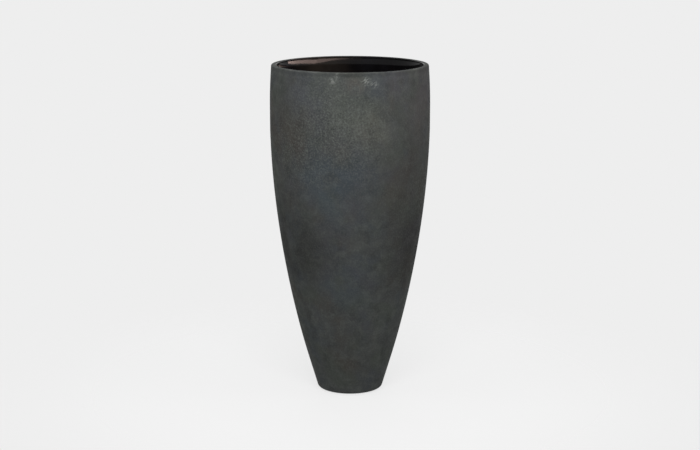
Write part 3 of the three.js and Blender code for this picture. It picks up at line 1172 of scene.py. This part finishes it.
@dataclass
class Drain:
    """The drain fittings in the base plate: threaded connector, washer and hexagonal backnut."""

    bore: float = 10
    recess: tuple[Corner, ...] = (Corner(5, 0, 0.3), Corner(6, 0.5))  # under the flange, from the bore
    recess_end: tuple[Corner, ...] = (Corner(-4, 0.5), Corner(-3, 0, 0.3))  # from the flange's edge
    tube: float = 13
    flange: float = 3  # thickness
    hole: float = 13.5
    pitch: float = 1.814  # of the pipe thread on the tube
    thread_depth: float = 0.8
    thread_root: float = 0.3  # how far the ridge's root is sunk in the tube
    thread_reach: float = 0.46  # half the ridge's width at its root, as a share of the pitch
    thread_flat: float = 0.08  # half its width at its crest
    bead: tuple[Corner, ...] = (
        Corner(-1.2, 0.25), Corner(-0.6, 0, 0.2), Corner(0.6, 0, 0.2), Corner(1.2, 0.25),
    )
    chamfer: float = 1  # of the backnut's bore
    nut_bevel: float = 30  # angle in degrees at which its corners are turned off

    def thread(self, low: float, high: float) -> Piece:
        """Winds the thread's ridge up the tube.

        Args:
            low: Height at which the ridge starts, in millimetres.
            high: Height that its top stays under.

        Returns:
            The ridge, closed at both ends, to be added to the tube.
        """
        root, crest = self.tube - self.thread_depth - self.thread_root, self.tube
        deselect_all()
        bpy.ops.mesh.primitive_circle_add(vertices=4, radius=MM, fill_type="NGON")
        ridge = named(bpy.context.object, "thread_ridge")
        reach, flat = self.pitch * self.thread_reach, self.pitch * self.thread_flat
        corners = ((root, -reach), (crest, -flat), (crest, flat), (root, reach))
        for vertex, (r, z) in zip(ridge.data.vertices, corners):
            vertex.co = (r * MM, 0, (low + reach + z) * MM)
        turns = int((high - low - 2 * reach) / self.pitch)
        screw = ridge.modifiers.new("thread", "SCREW")
        screw.steps = screw.render_steps = Facets.PAD
        screw.iterations, screw.screw_offset = turns, self.pitch * MM
        screw.use_merge_vertices = False
        make_active(ridge)
        bpy.ops.object.modifier_apply(modifier=screw.name)
        with editing(ridge):
            weld()
            bpy.ops.mesh.select_all(action="DESELECT")
            bpy.ops.mesh.select_non_manifold(extend=False)
            bpy.ops.mesh.fill_holes(sides=8)
            weld()
        return ridge

    def build_connector(self) -> None:
        """Turns the connector's flange and tube, and adds its thread."""
        low, top, reach = levels("drain_connector")
        flange_top = low + self.flange
        root = self.tube - self.thread_depth
        nut_low = levels("drain_backnut")[0]
        outline = section(
            Corner(self.bore, low, 0.8),
            *placed(self.bore, low, self.recess),
            *placed(reach, low, self.recess_end),
            Corner(reach, low, 1),
            Corner(reach, flange_top, 0.5),
            Corner(self.tube, flange_top, 0.3),
            Corner(self.tube, nut_low - 1),
            Corner(root, nut_low - 0.2),
            Corner(root, top, 0.8),
            Corner(self.bore, top, 0.5),
        )
        piece = turned("threaded_connector", outline, Facets.FITTING)
        combine(piece, self.thread(nut_low - 0.2, top - 1.2), "UNION")
        hand_over(piece, "drain_connector", GREY_PVC)

    def build_washer(self) -> None:
        """Turns the rubber washer, with a sealing bead round each face."""
        low, top, reach = levels("drain_washer")
        face = low + self.bead[0].height
        outline = section(*both_faces(
            (low + top) / 2,
            Corner(self.hole, face, 0.2),
            *placed((self.hole + reach) / 2, low, self.bead),
            Corner(reach, face, 0.3),
        ))
        piece = turned("sealing_washer", outline, Facets.FITTING)
        hand_over(piece, "drain_washer", BLACK_RUBBER)

    def build_backnut(self) -> None:
        """Cuts the backnut: a hexagon whose corners are turned off on both faces."""
        low, top, corner = levels("drain_backnut")
        flat = corner * math.cos(math.pi / 6)
        middle = (low + top) / 2
        nut = cylinder("hex_backnut", 6, corner, top - low, (0, 0, middle), (0, 0, math.pi / 6))
        fall = (corner - flat) * math.tan(math.radians(self.nut_bevel))
        outline = section(*both_faces(
            middle,
            Corner(self.hole, low + self.chamfer),
            Corner(self.hole + self.chamfer, low),
            Corner(flat - 0.4, low),
            Corner(corner + 1, low + fall + 1),
        ))
        combine(nut, turned("nut_turning", outline, Facets.NUT), "INTERSECT")
        hand_over(nut, "drain_backnut", GREY_PVC, angle=20)

    def build(self) -> None:
        """Builds the connector, the washer and the backnut."""
        self.build_connector()
        self.build_washer()
        self.build_backnut()


# -------- the liner and its plug


@dataclass
class Liner:
    """The lift-out liner: flange, drafted wall with two hand slots, ribbed floor, sump and drain hole."""

    collar: Collar
    wall: float = 3
    draft: float = math.tan(math.radians(5))
    lift_gap: float = 1.5
    corner: float = 14
    sump_radius: float = 26
    sump_depth: float = 6
    drain_hole: float = 12
    slot_length: float = 90
    slot_height: float = 22
    slot_drop: float = 36
    fill_line_drop: float = 70
    fill_line: tuple[Corner, ...] = (
        Corner(0.15, 2), Corner(-0.55, 1.3), Corner(-0.62, 0.2), Corner(-0.05, -0.6),
    )
    floor_ribs: int = 12
    rib_reach: tuple[float, float] = (34, 122)
    rib_width: float = 3
    rib_height: float = 1.6
    rib_edge: float = 0.6
    slot_edge: float = 0.8

    def outline(self) -> list[Point]:
        """Draws the section, from the drain hole out along the underside and back along the inside.

        Returns:
            The points of the closed section.
        """
        sump_under, top, edge = levels("liner")
        under, flange_low = sump_under + self.sump_depth, top - self.wall
        ledge = self.collar.shell.top - self.collar.ledge_depth
        outer = self.collar.face_radius(ledge) - self.collar.ledge_width - self.lift_gap

        def outside(z: float) -> float:
            """Gives the outside radius of the wall at a height."""
            return outer - self.draft * (flange_low - z)

        floor, sump_floor = under + self.wall, sump_under + self.wall
        line = top - self.fill_line_drop
        return section(
            Corner(self.drain_hole, sump_under, 0.6),
            Corner(self.sump_radius, sump_under, 1),
            Corner(self.sump_radius + self.wall, under, 1),
            Corner(outside(under), under, self.corner),
            Corner(outside(flange_low), flange_low, 2),
            Corner(edge, flange_low, 1),
            Corner(edge, top, 1.2),
            Corner(outside(flange_low) - self.wall, top, 2.5),
            *placed(outside(line) - self.wall, line, self.fill_line),
            Corner(outside(floor) - self.wall, floor, self.corner - self.wall),
            Corner(self.sump_radius, floor, 1),
            Corner(self.sump_radius - self.wall, sump_floor, 0.8),
            Corner(self.drain_hole, sump_floor, 0.6),
        )

    def slot_cutter(self, side: int) -> Piece:
        """Makes the bar with round ends that cuts one hand slot.

        Args:
            side: 1 for the slot on +X and -1 for the one on -X.

        Returns:
            The cutter.
        """
        _, top, edge = levels("liner")
        half = self.slot_height / 2
        centre = (side * edge * 0.8, 0, top - self.slot_drop)  # it reaches past both faces of the wall
        cutter = cylinder("slot_cutter", Facets.CUTTER, half, edge, centre, (0, math.pi / 2, 0))
        stretch = (self.slot_length / 2 - half) * MM
        for vertex in cutter.data.vertices:
            if abs(vertex.co.y) > WELD:
                vertex.co.y += math.copysign(stretch, vertex.co.y)
        return cutter

    def ribs(self) -> Piece:
        """Makes the low radial ribs that hold the soil off the floor, so that water reaches the sump.

        Returns:
            All the ribs, joined.
        """
        floor = levels("liner")[0] + self.sump_depth + self.wall
        start, end = self.rib_reach
        deselect_all()
        bpy.ops.mesh.primitive_cube_add(size=MM, location=((start + end) / 2 * MM, 0, floor * MM))
        first = named(bpy.context.object, "floor_rib")
        first.scale = (end - start, self.rib_width, 2 * self.rib_height)
        bpy.ops.object.transform_apply()
        bevel_edges(first, self.rib_edge, lambda at: at.z > floor * MM)
        made = [first]
        for number in range(1, self.floor_ribs):
            rib = copy_of(first, f"floor_rib_{number}")
            rib.rotation_euler = (0, 0, math.tau * number / self.floor_ribs)
            made.append(rib)
        deselect_all()
        for rib in made:
            rib.select_set(True)
        bpy.context.view_layer.objects.active = first
        bpy.ops.object.transform_apply()
        bpy.ops.object.join()
        return first

    def build(self) -> None:
        """Turns the liner, adds the ribs, cuts the hand slots and rounds their edges."""
        piece = turned("liner_moulding", self.outline(), Facets.BARREL)
        combine(piece, self.ribs(), "UNION")
        for side in (1, -1):
            combine(piece, self.slot_cutter(side), "DIFFERENCE")
        top = levels("liner")[1]
        middle, half, reach = top - self.slot_drop, self.slot_height / 2, self.slot_length / 2

        def on_slot(at: Vector) -> bool:
            """Says whether a point, in metres, is on the edge of a hand slot."""
            return abs(at.z / MM - middle) < half + 0.1 and abs(at.y / MM) < reach + 0.1

        bevel_edges(piece, self.slot_edge, on_slot)
        hand_over(piece, "liner", BLACK_POLYPROPYLENE, body=Body.LINER)


@dataclass
class Plug:
    """The rubber plug: head, ribbed shank and a pierced tab to pull it by."""

    head: float = 4  # thickness
    shank: float = 12
    shank_radius: float = 11.5
    taper: float = 1.2
    ribs: int = 3
    rib: tuple[Corner, ...] = (Corner(-0.6, -1.2), Corner(0, 0, 0.3), Corner(-0.6, 0.6))
    tab_width: float = 22
    tab_thickness: float = 6
    tab_hole: float = 4.5
    tab_edge: float = 0.9

    def body(self) -> Piece:
        """Turns the head and the shank with its sealing ribs.

        Returns:
            The plug without its tab.
        """
        low, _, reach = levels("liner_plug")
        seat = low + self.shank
        shank = [Corner(0, low), Corner(self.shank_radius - self.taper - 0.6, low, 0.5)]
        for i in range(self.ribs):
            rise = low + self.shank * (i + 0.6) / (self.ribs + 0.5)
            radius = self.shank_radius - self.taper * (seat - rise) / self.shank
            shank += placed(radius, rise, self.rib)
        outline = section(
            *shank,
            Corner(self.shank_radius - 0.6, seat, 0.3),
            Corner(reach, seat, 0.6),
            Corner(reach, seat + self.head, 1.4),
            Corner(0, seat + self.head),
        )
        return turned("plug_rubber", outline, Facets.FITTING)

    def tab(self) -> Piece:
        """Makes the tab: a flat bar with a round top, a hole and softened edges.

        Returns:
            The tab, whose root is inside the head.
        """
        low, top, _ = levels("liner_plug")
        half = self.tab_width / 2
        root = low + self.shank + self.head / 2
        centre, across = (0, 0, top - half), (math.pi / 2, 0, 0)
        tab = cylinder("plug_tab", Facets.CUTTER, half, self.tab_thickness, centre, across)
        for vertex in tab.data.vertices:
            if vertex.co.z < (top - half) * MM - WELD:
                side = half * MM if abs(vertex.co.x) > WELD else 0
                vertex.co = (math.copysign(side, vertex.co.x), vertex.co.y, root * MM)
        with editing(tab):
            weld()
        through = 2 * self.tab_thickness
        hole = cylinder("tab_hole", Facets.TAB_HOLE, self.tab_hole, through, centre, across)
        combine(tab, hole, "DIFFERENCE")
        bevel_edges(tab, self.tab_edge, lambda at: at.z > (root + self.head / 2) * MM)
        return tab

    def build(self) -> None:
        """Joins the tab to the head."""
        piece = self.body()
        combine(piece, self.tab(), "UNION")
        hand_over(piece, "liner_plug", BLACK_RUBBER, body=Body.PLUG)


# -------- floor, lamps and camera


@dataclass(frozen=True)
class Lamp:
    """A soft rectangular lamp.

    Attributes:
        name: Its name.
        place: Where it hangs, in metres.
        target: What it points at.
        along: Which way its long side runs.
        size: Its length and height in metres.
        power: Its power in watts.
        colour: Its colour, as sRGB.
        glow: What it lights.
    """

    name: str
    place: Point3
    target: Point3
    along: Point3
    size: tuple[float, float]
    power: float
    colour: str = "#ffffff"
    glow: Glow = Glow.FULL

    def hang(self) -> None:
        """Hangs the lamp."""
        back = (Vector(self.place) - Vector(self.target)).normalized()
        long = Vector(self.along)
        long = (long - back * long.dot(back)).normalized()
        facing = Matrix((long, back.cross(long), back)).transposed()
        bpy.ops.object.light_add(type="AREA", location=self.place, rotation=facing.to_euler())
        lamp = named(bpy.context.object, self.name)
        lamp.data.shape, lamp.data.size, lamp.data.size_y = "RECTANGLE", self.size[0], self.size[1]
        lamp.data.energy, lamp.data.color = self.power, linear(self.colour)[:3]
        lamp.visible_camera = False
        lamp.visible_diffuse = self.glow is not Glow.SHEEN
        lamp.visible_glossy = self.glow is not Glow.MATT


@dataclass
class Studio:
    """A pale floor that runs into a pale background, soft lamps and the camera.

    Attributes:
        pale: Colour of the background, as sRGB.
        glow: Colour of the floor's unshaded share, so that with its shaded share it is as pale.
        sky: What diffuse light from above the horizon amounts to, where 1 is white.
        bounce: What diffuse light off the floor amounts to.
        shadow: How much of the object's shadow the floor shows.
        lens: Focal length in millimetres, on a 36 mm wide sensor.
        stand: Where the camera stands, in metres.
        aim: The point that it looks at.
        floor_albedo: How much light the floor's paint gives back.
        fade: How far from the pot the floor starts to fade into the background, and where it ends.
        lamps: The lamps. The two warm ones give only the pinkish band that the collar mirrors under its
            rim, and the one behind the pot lights the wall and isn't mirrored.
    """

    pale: str = "#eeeeee"
    glow: str = "#f5f5f5"
    sky: float = 0.35
    bounce: float = 0.40
    shadow: float = 0.20
    floor_albedo: float = 0.93
    fade: tuple[float, float] = (0.45, 1.1)
    lens: float = 85
    stand: Point3 = (0, -4.43, 1.388)
    aim: Point3 = (0, 0, 0.4585)
    lamps: tuple[Lamp, ...] = (
        Lamp("key", (0, -1.9, 2.6), (0, 0, 0.75), (1, 0, 0), (1.3, 1), 45),
        Lamp("left_top", (-2, -0.7, 2.5), (0, 0, 0.8), (0, 1, 0), (1, 1), 8),
        Lamp("right_top", (2, -0.7, 2.5), (0, 0, 0.8), (0, 1, 0), (1, 1), 8),
        Lamp("back", (0, 2.4, 0.65), (0, 0, 0.65), (1, 0, 0), (1.7, 0.8), 22,
             glow=Glow.MATT),
        Lamp("warm_front", (0.475, -1.186, 1.492), (0, 0.12, 0.885), (0.758, 0.561, -0.332), (2.23, 0.267),
             17.2, "#ffdfd4", glow=Glow.SHEEN),
        Lamp("warm_side", (1.14, 0.043, 1.162), (0, 0.12, 0.885), (-0.469, 0.871, -0.144), (1.35, 0.188),
             10.5, "#ffdfd4", glow=Glow.SHEEN),
    )

    def light_room(self) -> None:
        """Sets the world: the pale background for what is seen, and a plain soft light for the rest."""
        world = bpy.data.worlds.new("pale_room")
        bpy.context.scene.world = world
        world.use_nodes = True
        tree = world.node_tree
        tree.nodes.clear()
        ray = add_node(tree, "LightPath")
        seen = ray.outputs["Is Camera Ray"]
        for other in ("Is Glossy Ray", "Is Transmission Ray"):
            seen = chain(tree, "MAXIMUM", seen, ray.outputs[other])
        direction = add_node(tree, "TexCoord").outputs["Generated"]
        height = add_node(tree, "SeparateXYZ", {0: direction}).outputs["Z"]
        level = add_node(tree, "MapRange", {
            "Value": height, "From Min": -0.15, "From Max": 0.15, "To Min": self.bounce, "To Max": self.sky,
        }).outputs[0]
        soft = add_node(tree, "Background", {"Color": (1, 1, 1, 1), "Strength": level})
        shown = add_node(tree, "Background", {"Color": linear(self.pale), "Strength": 1})
        mixed = add_node(tree, "MixShader", {0: seen, 1: soft.outputs[0], 2: shown.outputs[0]})
        add_node(tree, "OutputWorld", {"Surface": mixed.outputs[0]})

    def floor_material(self) -> bpy.types.Material:
        """Makes the floor: pale paint that takes the shadow, seen from above only.

        Returns:
            The material.
        """
        made = bpy.data.materials.new("pale_floor_paint")
        made.use_nodes = True
        tree = made.node_tree
        tree.nodes.clear()
        place = add_node(tree, "TexCoord").outputs["Object"]
        away = add_node(tree, "VectorMath", {0: place}, operation="LENGTH").outputs["Value"]
        near = add_node(tree, "MapRange", {
            "Value": away, "From Min": self.fade[1], "From Max": self.fade[0],
        }, interpolation_type="SMOOTHSTEP").outputs[0]
        seen = add_node(tree, "LightPath").outputs["Is Camera Ray"]
        behind = add_node(tree, "NewGeometry").outputs["Backfacing"]
        front = add_node(tree, "Math", {0: 1, 1: behind}, operation="SUBTRACT").outputs[0]
        glow = add_node(tree, "Emission", {"Color": linear(self.glow)})
        grey = self.floor_albedo
        paint = add_node(tree, "BsdfDiffuse", {"Color": (grey, grey, grey, 1)})
        face = add_node(tree, "MixShader", {0: self.shadow, 1: glow.outputs[0], 2: paint.outputs[0]})
        clear = add_node(tree, "BsdfTransparent")
        mixed = add_node(tree, "MixShader", {
            0: chain(tree, "MULTIPLY", near, seen, front), 1: clear.outputs[0], 2: face.outputs[0],
        })
        add_node(tree, "OutputMaterial", {"Surface": mixed.outputs[0]})
        return made

    def lay_floor(self) -> None:
        """Lays the floor under the pads."""
        deselect_all()
        bpy.ops.mesh.primitive_circle_add(vertices=96, radius=self.fade[1], fill_type="NGON")
        floor = named(bpy.context.object, "studio_floor")
        floor.data.materials.append(self.floor_material())

    def place_camera(self) -> None:
        """Stands the camera where the photograph was taken from."""
        bpy.ops.object.camera_add(location=self.stand)
        camera = bpy.context.object
        camera.data.lens, camera.data.sensor_width = self.lens, 36
        camera.rotation_euler = (Vector(self.aim) - Vector(self.stand)).to_track_quat("-Z", "Y").to_euler()
        bpy.context.scene.camera = camera

    def build(self) -> None:
        """Sets up the room."""
        bpy.context.scene.view_settings.view_transform = "Standard"
        self.light_room()
        self.lay_floor()
        for lamp in self.lamps:
            lamp.hang()
        self.place_camera()


def main() -> None:
    """Builds the planter from the outside in, then its room."""
    logging.basicConfig(level=logging.INFO, format="%(message)s")
    shell = Shell(*levels("outer_shell"))
    shell.build()
    collar = Collar(shell)
    collar.build()
    Foot(shell).build()
    Drain().build()
    Liner(collar).build()
    Plug().build()
    Studio().build()


if __name__ == "__main__":
    main()
